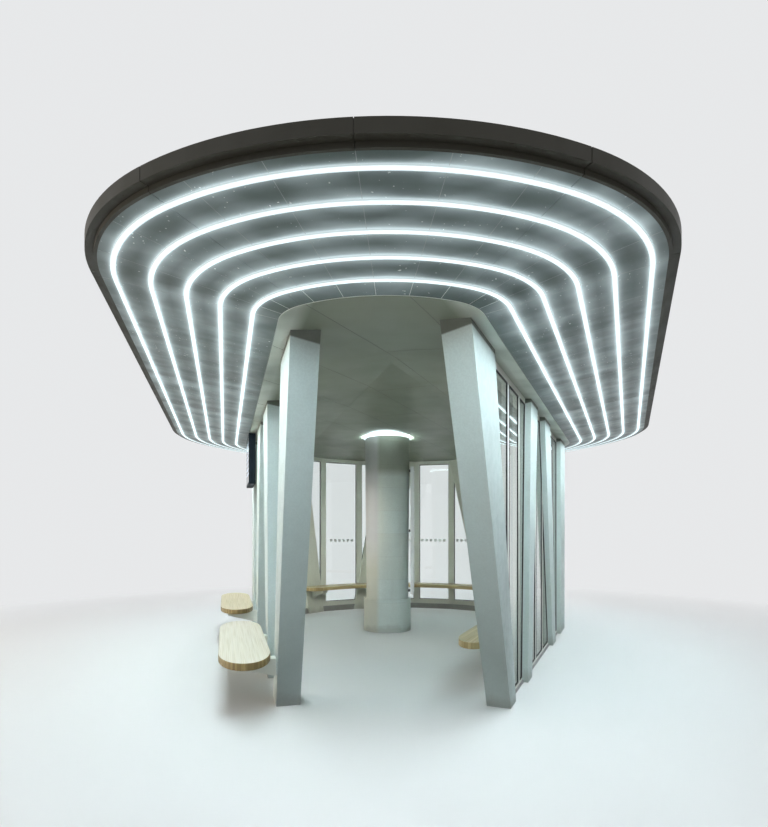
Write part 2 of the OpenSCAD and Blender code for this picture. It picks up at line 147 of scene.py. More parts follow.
SIDE_OUT = out(90 - FLARE)
SIDE_ALONG = out(180 - FLARE)
nose_centre = Vector((0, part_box("edge_band")[0].y + BAND_EDGE + NOSE_RADIUS, 0))
corner_centre = nose_centre + (NOSE_RADIUS - CORNER_RADIUS) * out(NOSE_HALF_ANGLE)
side_start = corner_centre + CORNER_RADIUS * SIDE_OUT
back_corner_centre = side_start + SIDE_LENGTH * SIDE_ALONG - BACK_CORNER_RADIUS * SIDE_OUT
back_radius = BACK_CORNER_RADIUS + back_corner_centre.x / math.sin(math.radians(BACK_HALF_ANGLE))
back_centre = back_corner_centre - (back_radius - BACK_CORNER_RADIUS) * out(180 - BACK_HALF_ANGLE)
drum_low, drum_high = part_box("round_column")
drum_head = Vector(((drum_low.x + drum_high.x) / 2, (drum_low.y + drum_high.y) / 2, drum_high.z))
UP = Vector((0, 0, 1))

# Arcs of the right half of the plan: centre, radius, first bearing, last bearing
NOSE = (nose_centre, NOSE_RADIUS, 0, NOSE_HALF_ANGLE)
CORNER = (corner_centre, CORNER_RADIUS, NOSE_HALF_ANGLE, 90 - FLARE)
BACK_CORNER = (back_corner_centre, BACK_CORNER_RADIUS, 90 - FLARE, 180 - BACK_HALF_ANGLE)
BACK = (back_centre, back_radius, 180 - BACK_HALF_ANGLE, 180)


def on_arc(arc, bearing, offset):
    return arc[0] + (arc[1] + offset) * out(bearing)


def on_side(distance, offset):
    return side_start + distance * SIDE_ALONG + offset * SIDE_OUT


def soffit_z(offset):
    return LIGHT_Z + SOFFIT_RISE * offset


def at_height(point, z):
    return Vector((point.x, point.y, z))


def mirrored(point):
    return Vector((-point.x, point.y, point.z))


def outline(offset, step=3):
    """Points of the whole plan at an offset, going round from the front."""
    right = []
    for arc in (NOSE, CORNER, BACK_CORNER, BACK):
        count = max(1, round((arc[3] - arc[2]) / step))
        for i in range(count):
            right.append(on_arc(arc, arc[2] + (arc[3] - arc[2]) * i / count, offset))
        if arc is CORNER:
            right.append(on_side(0, offset))
    right.append(on_arc(BACK, 180, offset))
    return right + [mirrored(point) for point in reversed(right[1:-1])]


def crossings(points, start, along):
    """The two places where a straight line on plan meets an outline."""
    across = Vector((-along.y, along.x, 0))
    found = []
    for a, b in zip(points, points[1:] + points[:1]):
        side_a, side_b = (a - start).dot(across), (b - start).dot(across)
        if side_a * side_b < 0:
            found.append(a.lerp(b, side_a / (side_a - side_b)))
    return sorted(found, key=lambda point: (point - start).dot(along))[:2]


# Shapes

def bar(bm, start, end, width, thickness, up=UP):
    """Adds a box along the line from start to end."""
    along = end - start
    x = along.normalized()
    y = up.cross(x).normalized()
    z = x.cross(y)
    turn = Matrix((x, y, z)).transposed().to_4x4()
    size = Matrix.Diagonal((along.length, width, thickness, 1))
    bmesh.ops.create_cube(bm, size=1, matrix=Matrix.Translation((start + end) / 2) @ turn @ size)


def disc(bm, centre, normal, radius, thickness):
    """Adds a flat round head that faces along a normal."""
    turn = normal.to_track_quat("Z", "Y").to_matrix().to_4x4()
    bmesh.ops.create_cone(bm, cap_ends=True, segments=16, radius1=radius, radius2=radius * 0.85,
                          depth=thickness, matrix=Matrix.Translation(centre) @ turn)


def sweep_right_half(bm, section, step=2.5):
    """Sweeps a closed section of offsets and heights round the right half of the plan."""
    verts = [bm.verts.new(at_height(on_arc(NOSE, 0, offset), z)) for offset, z in section]
    edges = [bm.edges.new(pair) for pair in zip(verts, verts[1:] + verts[:1])]
    last = verts + edges
    for arc in (NOSE, CORNER, BACK_CORNER, BACK):
        if arc is BACK_CORNER:
            edges = [item for item in last if isinstance(item, bmesh.types.BMEdge)]
            last = bmesh.ops.extrude_edge_only(bm, edges=edges)["geom"]
            last = [item for item in last if not isinstance(item, bmesh.types.BMFace)]
            moved = [item for item in last if isinstance(item, bmesh.types.BMVert)]
            bmesh.ops.translate(bm, vec=SIDE_LENGTH * SIDE_ALONG, verts=moved)
        angle = arc[3] - arc[2]
        spun = bmesh.ops.spin(bm, geom=last, cent=arc[0], axis=(0, 0, 1), angle=math.radians(angle),
                              steps=max(1, round(angle / step)), use_duplicate=False)
        last = spun["geom_last"]


def mirror_to_left(bm):
    geom = bm.verts[:] + bm.edges[:] + bm.faces[:]
    bmesh.ops.mirror(bm, geom=geom, merge_dist=1e-5, axis="X")
    bmesh.ops.recalc_face_normals(bm, faces=bm.faces)


def merge_flat_faces(bm):
    """Joins the triangles of every flat face of a CAD mesh."""
    bmesh.ops.remove_doubles(bm, verts=bm.verts, dist=1e-5)
    bmesh.ops.dissolve_limit(bm, angle_limit=math.radians(0.5), verts=bm.verts, edges=bm.edges)


def add_piece(name, bm, finish):
    """Makes an object of a mesh, at the origin, that rides on the root in a material slot."""
    mesh = bpy.data.meshes.new(name)
    bm.to_mesh(mesh)
    bm.free()
    mesh.materials.append(finish)
    piece = bpy.data.objects.new(name, mesh)
    bpy.context.scene.collection.objects.link(piece)
    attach(piece, "root")
    return piece


# Finishes

def dimmed(colour, share):
    return tuple(channel * share for channel in colour)


class Finish:
    """A material with one Principled shader, Object coordinates, and short calls for its other nodes."""

    def __init__(self, name, colour, roughness, metallic=0.0):
        self.material = bpy.data.materials.new(name)
        self.material.use_nodes = True
        self.tree = self.material.node_tree
        self.shader = self.tree.nodes["Principled BSDF"]
        self.shader.inputs["Base Color"].default_value = (*colour, 1)
        self.shader.inputs["Roughness"].default_value = roughness
        self.shader.inputs["Metallic"].default_value = metallic
        self.place = self.tree.nodes.new("ShaderNodeTexCoord").outputs["Object"]
        self.base = colour

    def link(self, source, target):
        self.tree.links.new(source, target)

    def add(self, kind, settings=None, **inputs):
        """Adds a node. Settings are its own choices, and inputs are sockets or values."""
        node = self.tree.nodes.new(kind)
        for key, value in (settings or {}).items():
            setattr(node, key, value)
        for key, value in inputs.items():
            socket = node.inputs[int(key[1:])] if key[0] == "_" else node.inputs[key.replace("_", " ")]
            if isinstance(value, bpy.types.NodeSocket):
                self.link(value, socket)
            else:
                socket.default_value = value
        return node

    def math(self, operation, a, b=0.0, c=0.0):
        return self.add("ShaderNodeMath", {"operation": operation}, _0=a, _1=b, _2=c).outputs[0]

    def vector(self, operation, a, b=(0, 0, 0)):
        node = self.add("ShaderNodeVectorMath", {"operation": operation}, _0=a, _1=b)
        return node.outputs["Value" if operation in ("LENGTH", "DISTANCE") else "Vector"]

    def axis(self, name, source=None):
        split = self.add("ShaderNodeSeparateXYZ", Vector=source or self.place)
        return split.outputs[name]

    def facing_up(self):
        """1 where the surface looks straight up, and -1 where it looks straight down."""
        return self.axis("Z", self.add("ShaderNodeNewGeometry").outputs["Normal"])

    def turned(self, scale=(1, 1, 1), angle=0.0):
        """The place turned about Z, and then stretched along the turned axes."""
        turned = self.add("ShaderNodeMapping", Vector=self.place, Rotation=(0, 0, math.radians(angle)))
        return self.vector("MULTIPLY", turned.outputs[0], scale)

    def noise(self, scale, detail=2.0, stretch=(1, 1, 1), angle=0.0):
        turned = self.turned(stretch, angle)
        return self.add("ShaderNodeTexNoise", Vector=turned, Scale=scale, Detail=detail).outputs["Fac"]

    def random_steps(self, value):
        """A random share for each whole number of a value."""
        whole = self.math("FLOOR", value)
        return self.add("ShaderNodeTexWhiteNoise", {"noise_dimensions": "1D"}, W=whole).outputs["Value"]

    def seams(self, value, start, full):
        """Lines at whole numbers. Start and full are distances from midway between two of them."""
        from_middle = self.math("ABSOLUTE", self.math("SUBTRACT", self.math("FRACT", value), 0.5))
        return self.spread(from_middle, start, full)

    def fade(self, distance, length):
        """1 at no distance, and less and less with it over a length."""
        return self.math("EXPONENT", self.math("MULTIPLY", distance, -1 / length))

    def spread(self, source, low, high, to_low=0.0, to_high=1.0):
        """Maps a range of a value to another range, held at both ends."""
        return self.add("ShaderNodeMapRange", {"clamp": True}, Value=source, From_Min=low, From_Max=high,
                        To_Min=to_low, To_Max=to_high).outputs[0]

    def mix(self, share, a, b):
        node = self.add("ShaderNodeMix", {"data_type": "RGBA"}, _0=share)
        for socket, value in ((node.inputs[6], a), (node.inputs[7], b)):
            if isinstance(value, bpy.types.NodeSocket):
                self.link(value, socket)
            else:
                socket.default_value = (*value, 1)
        return node.outputs[2]

    def wash(self, shade, share, amount, colour):
        """Lays a colour over a shade, by a share times an amount."""
        return self.mix(self.math("MULTIPLY", share, amount), shade, colour)

    def shade(self, colour):
        self.link(colour, self.shader.inputs["Base Color"])

    def glow(self, strength, colour=LIGHT_COLOUR):
        self.shader.inputs["Emission Color"].default_value = (*colour, 1)
        self.link(strength, self.shader.inputs["Emission Strength"])

    def rough(self, source, low, high):
        self.link(self.spread(source, 0.3, 0.7, low, high), self.shader.inputs["Roughness"])

    def bump(self, height, distance, strength=1.0):
        """Adds relief on top of any relief that is there."""
        normal = self.shader.inputs["Normal"]
        node = self.add("ShaderNodeBump", None, Height=height, Distance=distance, Strength=strength)
        if normal.is_linked:
            self.link(normal.links[0].from_socket, node.inputs["Normal"])
        self.link(node.outputs[0], normal)

    def tint_noise(self, scale, amount):
        """Lightens and darkens the colour softly by a noise."""
        value = self.noise(scale, 3)
        lighter = tuple(min(1, channel * (1 + amount)) for channel in self.base)
        return self.mix(self.spread(value, 0.3, 0.7), dimmed(self.base, 1 - amount), lighter)


def side_offset(finish):
    """Offset of a point near a long side from the innermost light line."""
    across = finish.math("MULTIPLY", finish.math("ABSOLUTE", finish.axis("X")), SIDE_OUT.x)
    reach = finish.math("MULTIPLY_ADD", finish.axis("Y"), SIDE_OUT.y, across)
    return finish.math("SUBTRACT", reach, side_start.dot(SIDE_OUT))


def side_distance(finish):
    """Distance along a long side."""
    outwards = finish.math("MULTIPLY", finish.math("ABSOLUTE", finish.axis("X")), SIDE_ALONG.x)
    return finish.math("MULTIPLY_ADD", finish.axis("Y"), SIDE_ALONG.y, outwards)


def rear_offset(finish):
    """Offset of a point near the rear curve from the innermost light line."""
    flat = finish.vector("MULTIPLY", finish.place, (1, 1, 0))
    return finish.math("SUBTRACT", finish.vector("DISTANCE", flat, tuple(back_centre)), back_radius)


def light_distance(finish, lift=0.0):
    """Distance from the nearest light line: the soffit's slope makes its height tell the offset."""
    height = finish.math("ADD", finish.axis("Z"), lift)
    offset = finish.math("DIVIDE", finish.math("SUBTRACT", height, LIGHT_Z), SOFFIT_RISE * LIGHT_PITCH)
    nearest = finish.math("MINIMUM", finish.math("MAXIMUM", finish.math("ROUND", offset), 0), LIGHT_COUNT - 1)
    gap = finish.math("ABSOLUTE", finish.math("SUBTRACT", offset, nearest))
    return finish.math("MULTIPLY", gap, LIGHT_PITCH)


def crease_shade(finish):
    """1 in the wedge under the ceiling where the crease hides the light lines, and 0 below it."""
    start = CEILING_Z - CREASE_SHADE_DROP - CREASE_SHADE_SLOPE * CREASE
    edge = finish.math("MULTIPLY_ADD", side_offset(finish), CREASE_SHADE_SLOPE, start)
    over_edge = finish.math("SUBTRACT", finish.axis("Z"), edge)
    return finish.spread(over_edge, -CREASE_SHADE_BLUR, CREASE_SHADE_BLUR)


def nose_share(finish, fade_start, fade_end):
    """1 round the nose, and 0 along the sides. The fade is measured from where the sides start."""
    return finish.spread(finish.axis("Y"), side_start.y + fade_start, side_start.y + fade_end, 1, 0)


def soffit_panel_finish():
    """Satin grey panels with a cool painted glow that falls off beside each light line, and specks of dust.
    """
    panel, pale_panel, dust = (0.090, 0.128, 0.123), (0.145, 0.182, 0.174), (0.92, 0.95, 0.92)
    finish = Finish("satin_soffit_panel", panel, 0.42)
    island = finish.add("ShaderNodeNewGeometry").outputs["Random Per Island"]
    shade = finish.wash(finish.tint_noise(1.6, 0.12), island, 0.16, pale_panel)
    specks = finish.spread(finish.noise(52, 1), 0.735, 0.765)
    dusty = finish.math("MULTIPLY", specks, finish.spread(finish.noise(2.1, 1), 0.42, 0.62, 0.1, 0.9))
    finish.shade(finish.mix(dusty, shade, dust))
    # Painted glow beside each light line, widened and made patchy along the sides like a painted reflection.
    distance = light_distance(finish)
    near = finish.math("MAXIMUM", finish.math("SUBTRACT", distance, LIGHT_WIDTH / 2), 0)
    reflection_streaks = finish.add("ShaderNodeTexNoise", {"noise_dimensions": "1D"}, W=side_distance(finish), Scale=3.2,
                         Detail=2.0).outputs["Fac"]
    flare = finish.spread(reflection_streaks, 0.36, 0.66, 0.6, 2.1)
    wide = finish.fade(finish.math("DIVIDE", distance, flare), WIDE_GLOW_LENGTH)
    patchy = finish.spread(finish.noise(2.6, 2), 0.36, 0.62, WIDE_GLOW * 0.5, WIDE_GLOW * 1.6)
    wide = finish.math("MULTIPLY", wide, patchy)
    finish.glow(finish.math("MULTIPLY_ADD", finish.fade(near, GLOW_LENGTH), GLOW, wide))
    finish.rough(finish.noise(7, 3), 0.36, 0.52)
    finish.bump(finish.noise(1.1, 1), 0.004, 0.25)
    return finish.material


def crease_bead_finish():
    """Bead with a painted highlight round the nose, and as dull as the panels along the sides."""
    bright, dull = (0.86, 0.90, 0.86), (0.28, 0.30, 0.27)
    finish = Finish("crease_bead", bright, 0.35)
    finish.shade(finish.mix(nose_share(finish, -0.1, 0.5), dull, bright))
    return finish.material


def joint_strip_finish():
    """Grey strips with a painted glow beside each light line. Their inner ends carry a painted highlight at
    the nose.
    """
    grey, bright = (0.24, 0.265, 0.255), (0.80, 0.84, 0.82)
    finish = Finish("fine_joint_strip", grey, 0.35, 0.2)
    innermost = finish.math("LESS_THAN", finish.axis("Z"), LIGHT_Z - 0.004)
    finish.shade(finish.wash(grey, innermost, nose_share(finish, -0.1, 0.1), bright))
    near = finish.fade(light_distance(finish), STRIP_GLOW_LENGTH)
    finish.glow(finish.math("MULTIPLY", near, STRIP_GLOW))
    return finish.material


def ceiling_finish():
    """Satin ceiling sheets with painted light: pale outside the walls, and a glow round the head of the round
    column.
    """
    dark, light, outside = (0.225, 0.255, 0.19), (0.26, 0.29, 0.22), (0.84, 0.89, 0.84)
    finish = Finish("satin_ceiling_sheet", light, 0.42)
    sheet = finish.mix(finish.spread(finish.noise(1.3, 2, (0.6, 1.0, 1)), 0.3, 0.7), dark, light)
    # Painted light: outside the walls the sheets are painted pale in patches, where the lit columns throw
    # light back.
    behind = finish.math("GREATER_THAN", finish.axis("Y"), back_corner_centre.y)
    past_rear = finish.math("MULTIPLY", finish.spread(rear_offset(finish), *ROOM_EDGE), behind)
    past_walls = finish.math("MAXIMUM", finish.spread(side_offset(finish), *ROOM_EDGE), past_rear)
    patchy_bounce = finish.spread(finish.noise(1.9, 2), 0.35, 0.65, 0.5, 1)
    finish.shade(finish.wash(sheet, past_walls, patchy_bounce, outside))
    # Painted pool of light round the head of the round column.
    from_head = finish.vector("SUBTRACT", finish.place, tuple(drum_head))
    pool = finish.vector("LENGTH", finish.vector("DIVIDE", from_head, (*RING_POOL, 1)))
    away = finish.math("MAXIMUM", finish.math("SUBTRACT", pool, 1), 0)
    finish.glow(finish.math("MULTIPLY", finish.fade(away, RING_GLOW_LENGTH), RING_GLOW))
    finish.rough(finish.noise(3, 3), 0.36, 0.5)
    finish.bump(finish.noise(0.9, 1), 0.005, 0.15)
    return finish.material


def lit_diffuser_finish(name, strength, side_strength, rims=False):
    """Opal diffuser with its lamps on: the eye sees plain white, and the strengths are what it sheds.

    With rims its sides and edges look softer than its middle.
    """
    finish = Finish(name, (0.45, 0.47, 0.47), 0.4)
    path = finish.add("ShaderNodeLightPath")
    looked_at = finish.math("MAXIMUM", path.outputs["Is Camera Ray"], path.outputs["Is Glossy Ray"])
    upward, downward_range, rim_range = finish.facing_up(), (-0.8, -0.5), (0.006, 0.015)
    shed = finish.spread(upward, *downward_range, strength, side_strength)
    seen = SEEN_STRENGTH
    if rims:
        edge = finish.spread(light_distance(finish, LIGHT_DROP), *rim_range, SEEN_STRENGTH, RIM_STRENGTH)
        side = finish.spread(upward, *downward_range, SEEN_STRENGTH, RIM_STRENGTH)
        seen = finish.math("MINIMUM", side, edge)
    gain = finish.spread(path.outputs["Is Glossy Ray"], 0, 1, 1, MIRRORED_GAIN)
    seen = finish.math("MULTIPLY", seen, gain)
    both = finish.add("ShaderNodeMix", {"data_type": "FLOAT"}, _0=looked_at, _2=shed, _3=seen)
    finish.glow(both.outputs[0])
    return finish.material


def painted_concrete_finish(name, colour, poured=False, crease=False):
    """Smooth painted concrete, softly mottled and soiled at its foot.

    Poured, it has the lifts of the round column, with painted light and shade. With crease it has the painted
    shades of the other columns.
    """
    streaked, soiled = (0.60, 0.60, 0.56), (0.33, 0.32, 0.29)
    finish = Finish(name, colour, 0.62)
    height = finish.axis("Z")
    mottle = finish.spread(finish.noise(14, 4), 0.35, 0.7)
    shade = finish.wash(finish.tint_noise(1.7, 0.05), mottle, 0.22, dimmed(colour, 0.9))
    grain = finish.spread(finish.noise(75, 2), 0.4, 0.6)
    shade = finish.wash(shade, grain, 0.2, dimmed(colour, 0.7))
    runs = finish.spread(finish.noise(9, 3, (1, 1, 0.06)), 0.5, 0.72)
    shade = finish.wash(shade, runs, 0.16, streaked)
    if poured:
        shade = lifts_and_painted_light(finish, shade, height)
    if crease:
        shade = column_shades(finish, shade, height)
    reach = finish.math("MULTIPLY_ADD", finish.noise(6, 3), 0.22, -0.03)
    soil = finish.spread(finish.math("SUBTRACT", reach, height), -0.04, 0.06)
    finish.shade(finish.wash(shade, soil, 0.45, soiled))
    finish.rough(mottle, 0.5, 0.72)
    finish.bump(finish.noise(11, 4), 0.0012, 0.5)
    finish.bump(finish.noise(160, 3), 0.0004, 0.6)
    return finish.material


def lifts_and_painted_light(finish, shade, height):
    """Lifts of the round column and their joints, with painted light on its side to the open wall and painted
    shade on its head.
    """
    warm_lift, joint_grey, shaded = (0.62, 0.62, 0.53), (0.42, 0.42, 0.40), (0.23, 0.245, 0.175)
    lit_cream, lit_mauve = (0.66, 0.645, 0.55), (0.60, 0.60, 0.645)
    lift = finish.math("DIVIDE", finish.math("SUBTRACT", height, POUR_START), POUR_HEIGHT)
    shade = finish.wash(shade, finish.random_steps(lift), 0.2, warm_lift)
    joint = finish.seams(lift, 0.485, 0.495)
    shade = finish.wash(shade, joint, 0.2, joint_grey)
    finish.bump(joint, -0.0015)
    # Painted light: the side to the open wall is paler, cream low down and mauve higher up; the head gets
    # painted shade.
    open_side_light = finish.spread(finish.axis("X"), drum_head.x - 0.15, drum_head.x - 0.09, 0.8, 0)
    shade = finish.mix(open_side_light, shade, finish.mix(finish.spread(height, 0.9, 1.4), lit_cream, lit_mauve))
    head = finish.spread(height, HEAD_SHADE - HEAD_BLUR, HEAD_SHADE + HEAD_BLUR, 0, 0.72)
    return finish.wash(shade, head, finish.spread(open_side_light, 0, 0.75, 1, 0.35), shaded)


def column_shades(finish, shade, height):
    """Painted shade: a dark wedge where the crease hides the light lines, and foremost columns darker towards
    the ground.
    """
    wedge = (0.10, 0.105, 0.08)
    shade = finish.wash(shade, crease_shade(finish), 0.88, wedge)
    # Painted shade: the foremost columns grow darker towards the ground.
    low_painted_shade = finish.spread(height, 0.1, 2.8, 0.8, 0)
    return finish.wash(shade, low_painted_shade, nose_share(finish, 1.2, 1.6), dimmed(finish.base, 0.45))


def coated_metal_finish(name, colour, roughness, metallic=0.0, mark=0.08, gloss=0.5):
    """Coated sheet metal with long soft streaks."""
    finish = Finish(name, colour, roughness, metallic)
    finish.shader.inputs["Specular IOR Level"].default_value = gloss
    streak = finish.spread(finish.noise(22, 3, (1, 1, 0.1)), 0.5, 0.75)
    finish.shade(finish.wash(finish.tint_noise(1.3, mark), streak, mark, dimmed(colour, 0.6)))
    finish.rough(finish.noise(5, 3), roughness - 0.06, roughness + 0.08)
    finish.bump(finish.noise(240, 2), 0.0002, 0.3)
    return finish.material


def etched_mark_finish():
    """Fine matt etching that lets half of the light through."""
    material = coated_metal_finish("etched_glass_mark", (0.80, 0.83, 0.82), 0.6, mark=0.02)
    material.node_tree.nodes["Principled BSDF"].inputs["Transmission Weight"].default_value = 0.5
    return material


def clear_glass_finish():
    """Clear glass that lets lamps and soft light through."""
    finish = Finish("clear_safety_glass", (0.90, 0.95, 0.94), 0.02)
    finish.shader.inputs["Transmission Weight"].default_value = 1.0
    finish.shader.inputs["IOR"].default_value = 1.5
    path = finish.add("ShaderNodeLightPath")
    passing = finish.math("MAXIMUM", path.outputs["Is Shadow Ray"], path.outputs["Is Diffuse Ray"])
    open_air = finish.add("ShaderNodeBsdfTransparent", None, Color=(0.9, 0.95, 0.94, 1))
    both = finish.add("ShaderNodeMixShader", None, _0=passing, _1=finish.shader.outputs[0],
                      _2=open_air.outputs[0])
    finish.link(both.outputs[0], finish.tree.nodes["Material Output"].inputs["Surface"])
    return finish.material


def straight_wood_finish(name, wear_and_light_tones):
    """Outside timber glued from narrow strips on edge, which run along the left side."""
    dark, light = (0.19, 0.125, 0.04), (0.38, 0.275, 0.105)
    angle, grain_stretch = -(90 + FLARE), (1.5, 130, 40)
    finish = Finish(name, light, 0.5)
    strip = finish.math("DIVIDE", finish.axis("Y", finish.turned(angle=angle)), OUTSIDE_STRIP_WIDTH)
    strips = finish.mix(finish.random_steps(strip), dark, light)
    grain = finish.noise(1, 5, grain_stretch, angle)
    return wood_layers(finish, strips, strip, grain, 0.82, wear_and_light_tones)


def curved_wood_finish():
    """Inside timber, with strips and grain that follow the walls by the piece's own map."""
    dark, light, grain_stretch = (0.42, 0.325, 0.15), (0.62, 0.50, 0.27), (1.5, 130, 1)
    finish = Finish("laminated_curved_wood", light, 0.5)
    along_walls = finish.add("ShaderNodeUVMap", {"uv_map": "strips"}).outputs[0]
    strip = finish.math("DIVIDE", finish.axis("Y", along_walls), STRIP_WIDTH)
    strips = finish.mix(finish.random_steps(strip), dark, light)
    stretched = finish.vector("MULTIPLY", along_walls, grain_stretch)
    grain = finish.add("ShaderNodeTexNoise", None, Vector=stretched, Scale=1.0, Detail=5.0).outputs["Fac"]
    return wood_layers(finish, strips, strip, grain, 0.25, LIT_WORN_TOP)


def wood_layers(finish, shade, strip, grain, worn_and_lit_share, wear_and_light_tones):
    """Grain, glue lines and a worn top with painted light over wood strips. The worn and lit share sets the
    top's share.
    """
    fibre_brown, glue_brown = (0.28, 0.19, 0.08), (0.16, 0.11, 0.05)
    fibres = finish.spread(grain, 0.42, 0.66)
    shade = finish.wash(shade, fibres, 0.3, fibre_brown)
    glue = finish.seams(strip, 0.47, 0.495)
    shade = finish.wash(shade, glue, 0.8, glue_brown)
    # Worn top: wear and painted light together, lighter where the top faces up.
    worn_and_lit_top = finish.mix(finish.spread(grain, 0.36, 0.66), *wear_and_light_tones)
    finish.shade(finish.wash(shade, finish.spread(finish.facing_up(), 0.6, 0.95), worn_and_lit_share, worn_and_lit_top))
    finish.rough(fibres, 0.42, 0.6)
    finish.bump(fibres, -0.0004, 0.6)
    finish.bump(glue, -0.0008, 0.7)
    return finish.material


def dark_screen_finish():
    """Dark glossy screen with plain rows of light, like a timetable without any words."""
    finish = Finish("dark_display_screen", (0.012, 0.016, 0.022), 0.12)
    low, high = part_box("display_screen")
    row = finish.math("DIVIDE", finish.math("SUBTRACT", high.z, finish.axis("Z")), ROW_PITCH)
    below_top, above_end = finish.math("GREATER_THAN", row, 1), finish.math("LESS_THAN", row, ROW_END)
    line = finish.math("LESS_THAN", finish.math("FRACT", row), ROW_SHARE)
    dash = finish.math("GREATER_THAN", finish.noise(30, 0, (1, 1, 0.2)), 0.44)
    from_middle = finish.math("ABSOLUTE", finish.math("SUBTRACT", finish.axis("Y"), (low.y + high.y) / 2))
    margin = finish.math("LESS_THAN", from_middle, ROW_MARGIN * (high.y - low.y))
    lit = ROW_STRENGTH
    for share in (below_top, above_end, line, dash, margin):
        lit = finish.math("MULTIPLY", share, lit)
    finish.glow(lit, ROW_COLOUR)
    return finish.material


soffit_panel = soffit_panel_finish()
ceiling_sheet = ceiling_finish()
lit_line = lit_diffuser_finish("lit_opal_line", LINE_STRENGTH, LINE_SIDE_STRENGTH, rims=True)
lit_ring = lit_diffuser_finish("lit_opal_ring", RING_STRENGTH, RING_SIDE_STRENGTH)
# Painted light: the front columns and the round column carry a cool tint of the light lines, and the rear
# columns are a copy of the same concrete painted lighter and warmer.
column_paint = painted_concrete_finish("white_painted_concrete", (0.63, 0.72, 0.705), crease=True)
rear_column_lit_paint = painted_concrete_finish("rear_concrete_painted_lighter", (0.80, 0.82, 0.74))
drum_paint = painted_concrete_finish("white_poured_concrete", (0.70, 0.785, 0.765), poured=True)
plinth_concrete = painted_concrete_finish("grey_plinth_concrete", (0.36, 0.365, 0.36))
band_metal = coated_metal_finish("warm_grey_edge_metal", (0.047, 0.044, 0.033), 0.55, mark=0.14, gloss=0.35)
roof_membrane = coated_metal_finish("grey_roof_sheet", (0.26, 0.27, 0.28), 0.75)
roof_body = coated_metal_finish("hidden_roof_body", (0.16, 0.16, 0.16), 0.7)
joint_metal = joint_strip_finish()
crease_bead = crease_bead_finish()
ceiling_joint = coated_metal_finish("ceiling_joint_strip", (0.17, 0.175, 0.15), 0.5)
frame_paint = coated_metal_finish("satin_white_frame_paint", (0.82, 0.84, 0.78), 0.38, mark=0.04)
seal_rubber = coated_metal_finish("black_glazing_rubber", (0.02, 0.021, 0.022), 0.6)
board_face = coated_metal_finish("white_board_face", (0.90, 0.93, 0.94), 0.3, mark=0.03)
board_edge = coated_metal_finish("bright_board_edge", (0.88, 0.91, 0.92), 0.25, 0.3, mark=0.04)
dark_metal = coated_metal_finish("dark_grey_metal", (0.05, 0.052, 0.055), 0.45, 0.3)
housing_paint = coated_metal_finish("matt_black_housing", (0.006, 0.011, 0.016), 0.6, gloss=0.15)
etched_mark = etched_mark_finish()
lit_top_seat_wood = straight_wood_finish("lit_worn_seat_wood", LIT_WORN_TOP)
shaded_top_seat_wood = straight_wood_finish("shaded_worn_seat_wood", SHADED_WORN_TOP)
curved_wood = curved_wood_finish()
glass = clear_glass_finish()
screen = dark_screen_finish()


def dress(finish, *names):
    """Gives CAD nodes a finish."""
    for name in names:
        for slot in nodes[name].material_slots:
            slot.material = finish


def soften_edges(width, *names):
    """Rounds the sharp edges of CAD nodes by a modifier."""
    for name in names:
        bevel = nodes[name].modifiers.new("soft_edges", "BEVEL")
        bevel.width = width
        bevel.segments = 2
        bevel.limit_method = "ANGLE"
        bevel.angle_limit = math.radians(40)


columns = [name for name in nodes if name.startswith("column_")]
dress(soffit_panel, "soffit_panels")
dress(ceiling_sheet, "inner_ceiling")
dress(lit_line, *(f"light_line_{k}" for k in range(1, LIGHT_COUNT + 1)))
dress(lit_ring, "round_column_light")
dress(column_paint, *columns)
dress(rear_column_lit_paint, *(name for name in columns if "back" in name))
dress(drum_paint, "round_column", "round_column_sleeve")
dress(plinth_concrete, "plinths")
dress(band_metal, "edge_band", "edge_lip")
dress(roof_membrane, "roof_sheet")
dress(roof_body, "roof_core", "roof_wings")
dress(frame_paint, "frame_right_1", "frame_right_2", "frame_right_3", "frame_back", "bench_brackets")
dress(glass, "glass_right", "glass_back")
dress(board_face, "notice_board")
dress(dark_metal, "board_standoffs", "display_hangers")
dress(housing_paint, "display_housing")
dress(screen, "display_screen")
soften_edges(0.004, *columns, "round_column_sleeve")
soften_edges(0.002, "bench_brackets", "display_housing", "notice_board")


# Pieces

def joint_lines():
    """Every joint of the soffit, as a function that gives its place on plan at an offset."""
    right = [lambda offset, b=b: on_arc(NOSE, b, offset) for b in NOSE_JOINTS]
    step = (CORNER[3] - CORNER[2]) / CORNER_PANELS
    right += [lambda offset, b=CORNER[2] + i * step: on_arc(CORNER, b, offset)
              for i in range(1, CORNER_PANELS)]
    right += [lambda offset, s=SIDE_LENGTH * i / SIDE_PANELS: on_side(s, offset)
              for i in range(SIDE_PANELS + 1)]
    step = 2 * BACK_HALF_ANGLE / BACK_PANELS
    right += [lambda offset, b=BACK[2] + i * step: on_arc(BACK, b, offset) for i in range(BACK_PANELS // 2)]
    left = [lambda offset, line=line: mirrored(line(offset)) for line in right]
    middle = [lambda offset: on_arc(NOSE, 0, offset), lambda offset: on_arc(BACK, 180, offset)]
    return middle + right + left


def soffit_joint_strips():
    """Cover strips under the joints of the soffit panels."""
    bm = bmesh.new()
    width, thickness = 0.003, 0.0012
    inner, outer = CREASE + 0.003, SOFFIT_EDGE - 0.001
    for line in joint_lines():
        start = at_height(line(inner), soffit_z(inner))
        end = at_height(line(outer), soffit_z(outer))
        bar(bm, start, end, width, thickness)
    add_piece("soffit_joint_strips", bm, joint_metal)


